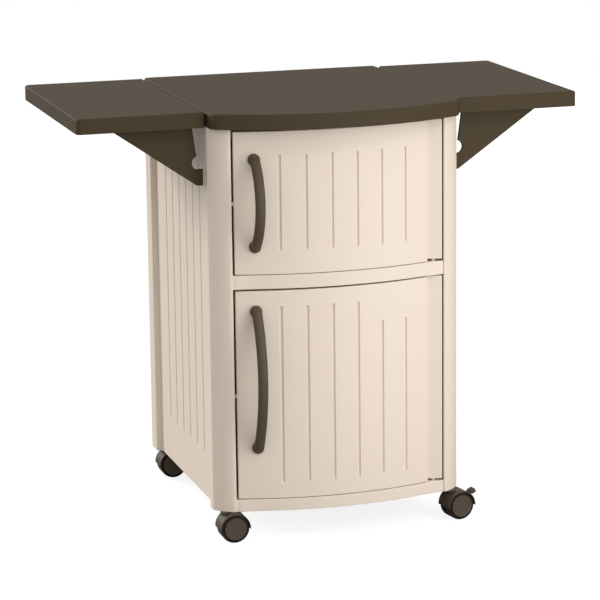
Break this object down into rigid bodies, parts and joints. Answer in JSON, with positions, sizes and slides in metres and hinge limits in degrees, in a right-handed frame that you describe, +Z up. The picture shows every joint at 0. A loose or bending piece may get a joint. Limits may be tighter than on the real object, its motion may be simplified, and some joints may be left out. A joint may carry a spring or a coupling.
{
  "type": "patio prep cabinet",
  "caption": "Resin patio prep cabinet on swivel casters, with a bowed front, two hinged doors, a worktop and a drop leaf on folding brackets at each end.",
  "frame": {"origin": "on the floor, under the middle of the overall width and depth", "axes": "+X to the right seen from the front, -Y out of the doors, +Z up"},
  "size_m": [1.088, 0.65, 0.914],
  "materials": {
    "beige_resin": "fine moulded texture, matt",
    "brown_resin": "fine moulded texture, matt",
    "caster_plastic": "satin",
    "steel": "satin"
  },
  "bodies": {
    "cabinet": {"back_panel": "beige_resin", "back_panel_screws": "steel", "caster_sockets": "beige_resin", "countertop": "brown_resin", "divider_shelf": "beige_resin", "door_catches": "beige_resin", "door_hinge_pins": "steel", "floor_panel": "beige_resin", "header_rail": "beige_resin", "left_leaf_hinge_pins": "steel", "left_side_panel": "beige_resin", "rear_top_rail": "beige_resin", "right_leaf_hinge_pins": "steel", "right_side_panel": "beige_resin", "top_rail_screws": "steel"},
    "upper_door": {"upper_door_skin": "beige_resin", "upper_door_liner": "beige_resin", "upper_handle": "brown_resin", "upper_handle_screws": "steel"},
    "lower_door": {"lower_door_skin": "beige_resin", "lower_door_liner": "beige_resin", "lower_handle": "brown_resin", "lower_handle_screws": "steel"},
    "left_leaf": {"left_leaf": "brown_resin", "left_bracket_pins": "steel"},
    "left_front_bracket": {"left_front_bracket": "brown_resin"},
    "left_rear_bracket": {"left_rear_bracket": "brown_resin"},
    "right_leaf": {"right_leaf": "brown_resin", "right_bracket_pins": "steel"},
    "right_front_bracket": {"right_front_bracket": "brown_resin"},
    "right_rear_bracket": {"right_rear_bracket": "brown_resin"},
    "front_left_caster": {"front_left_caster_hood": "caster_plastic", "front_left_caster_stem": "steel", "front_left_caster_axle": "steel"},
    "front_left_caster_front_wheel": {"front_left_caster_front_wheel": "caster_plastic"},
    "front_left_caster_back_wheel": {"front_left_caster_back_wheel": "caster_plastic"},
    "front_right_caster": {"front_right_caster_hood": "caster_plastic", "front_right_caster_stem": "steel", "front_right_caster_axle": "steel"},
    "front_right_caster_front_wheel": {"front_right_caster_front_wheel": "caster_plastic"},
    "front_right_caster_back_wheel": {"front_right_caster_back_wheel": "caster_plastic"},
    "front_right_caster_brake_lever": {"front_right_caster_brake_lever": "caster_plastic"},
    "rear_left_caster": {"rear_left_caster_hood": "caster_plastic", "rear_left_caster_stem": "steel", "rear_left_caster_axle": "steel"},
    "rear_left_caster_front_wheel": {"rear_left_caster_front_wheel": "caster_plastic"},
    "rear_left_caster_back_wheel": {"rear_left_caster_back_wheel": "caster_plastic"},
    "rear_right_caster": {"rear_right_caster_hood": "caster_plastic", "rear_right_caster_stem": "steel", "rear_right_caster_axle": "steel"},
    "rear_right_caster_front_wheel": {"rear_right_caster_front_wheel": "caster_plastic"},
    "rear_right_caster_back_wheel": {"rear_right_caster_back_wheel": "caster_plastic"},
    "rear_right_caster_brake_lever": {"rear_right_caster_brake_lever": "caster_plastic"}
  },
  "joints": [
    {"name": "upper_door_hinge", "type": "hinge", "parent": "cabinet", "child": "upper_door", "pos_m": [0.212, -0.242, 0.7268], "axis": [0, 0, 1], "range_deg": [0, 100]},
    {"name": "lower_door_hinge", "type": "hinge", "parent": "cabinet", "child": "lower_door", "pos_m": [0.212, -0.242, 0.3175], "axis": [0, 0, 1], "range_deg": [0, 100]},
    {"name": "left_leaf_hinge", "type": "hinge", "parent": "cabinet", "child": "left_leaf", "pos_m": [-0.274, 0.044, 0.88], "axis": [0, 1, 0], "range_deg": [0, 6]},
    {"name": "left_front_bracket_hinge", "type": "hinge", "parent": "left_leaf", "child": "left_front_bracket", "pos_m": [-0.379, -0.1875, 0.892], "axis": [1, 0, 0], "range_deg": [0, 88]},
    {"name": "left_rear_bracket_hinge", "type": "hinge", "parent": "left_leaf", "child": "left_rear_bracket", "pos_m": [-0.379, 0.2755, 0.892], "axis": [-1, 0, 0], "range_deg": [0, 88]},
    {"name": "right_leaf_hinge", "type": "hinge", "parent": "cabinet", "child": "right_leaf", "pos_m": [0.274, 0.044, 0.88], "axis": [0, -1, 0], "range_deg": [0, 6]},
    {"name": "right_front_bracket_hinge", "type": "hinge", "parent": "right_leaf", "child": "right_front_bracket", "pos_m": [0.379, -0.1875, 0.892], "axis": [1, 0, 0], "range_deg": [0, 88]},
    {"name": "right_rear_bracket_hinge", "type": "hinge", "parent": "right_leaf", "child": "right_rear_bracket", "pos_m": [0.379, 0.2755, 0.892], "axis": [-1, 0, 0], "range_deg": [0, 88]},
    {"name": "front_left_caster_swivel", "type": "hinge", "parent": "cabinet", "child": "front_left_caster", "pos_m": [-0.252, -0.24, 0.08], "axis": [0, 0, 1], "continuous": true},
    {"name": "front_left_caster_front_wheel_spin", "type": "hinge", "parent": "front_left_caster", "child": "front_left_caster_front_wheel", "pos_m": [-0.236, -0.24, 0.031], "axis": [0, 1, 0], "continuous": true},
    {"name": "front_left_caster_back_wheel_spin", "type": "hinge", "parent": "front_left_caster", "child": "front_left_caster_back_wheel", "pos_m": [-0.236, -0.24, 0.031], "axis": [0, 1, 0], "continuous": true},
    {"name": "front_right_caster_swivel", "type": "hinge", "parent": "cabinet", "child": "front_right_caster", "pos_m": [0.252, -0.24, 0.08], "axis": [0, 0, 1], "continuous": true},
    {"name": "front_right_caster_front_wheel_spin", "type": "hinge", "parent": "front_right_caster", "child": "front_right_caster_front_wheel", "pos_m": [0.26776, -0.23722, 0.031], "axis": [-0.1736, 0.9848, 0], "continuous": true},
    {"name": "front_right_caster_back_wheel_spin", "type": "hinge", "parent": "front_right_caster", "child": "front_right_caster_back_wheel", "pos_m": [0.26776, -0.23722, 0.031], "axis": [-0.1736, 0.9848, 0], "continuous": true},
    {"name": "front_right_caster_brake_hinge", "type": "hinge", "parent": "front_right_caster", "child": "front_right_caster_brake_lever", "pos_m": [0.28532, -0.23412, 0.04706], "axis": [-0.1736, 0.9848, 0], "range_deg": [0, 14]},
    {"name": "rear_left_caster_swivel", "type": "hinge", "parent": "cabinet", "child": "rear_left_caster", "pos_m": [-0.252, 0.283, 0.08], "axis": [0, 0, 1], "continuous": true},
    {"name": "rear_left_caster_front_wheel_spin", "type": "hinge", "parent": "rear_left_caster", "child": "rear_left_caster_front_wheel", "pos_m": [-0.236, 0.283, 0.031], "axis": [0, 1, 0], "continuous": true},
    {"name": "rear_left_caster_back_wheel_spin", "type": "hinge", "parent": "rear_left_caster", "child": "rear_left_caster_back_wheel", "pos_m": [-0.236, 0.283, 0.031], "axis": [0, 1, 0], "continuous": true},
    {"name": "rear_right_caster_swivel", "type": "hinge", "parent": "cabinet", "child": "rear_right_caster", "pos_m": [0.252, 0.283, 0.08], "axis": [0, 0, 1], "continuous": true},
    {"name": "rear_right_caster_front_wheel_spin", "type": "hinge", "parent": "rear_right_caster", "child": "rear_right_caster_front_wheel", "pos_m": [0.268, 0.283, 0.031], "axis": [0, 1, 0], "continuous": true},
    {"name": "rear_right_caster_back_wheel_spin", "type": "hinge", "parent": "rear_right_caster", "child": "rear_right_caster_back_wheel", "pos_m": [0.268, 0.283, 0.031], "axis": [0, 1, 0], "continuous": true},
    {"name": "rear_right_caster_brake_hinge", "type": "hinge", "parent": "rear_right_caster", "child": "rear_right_caster_brake_lever", "pos_m": [0.28584, 0.283, 0.04706], "axis": [0, 1, 0], "range_deg": [0, 14]}
  ]
}
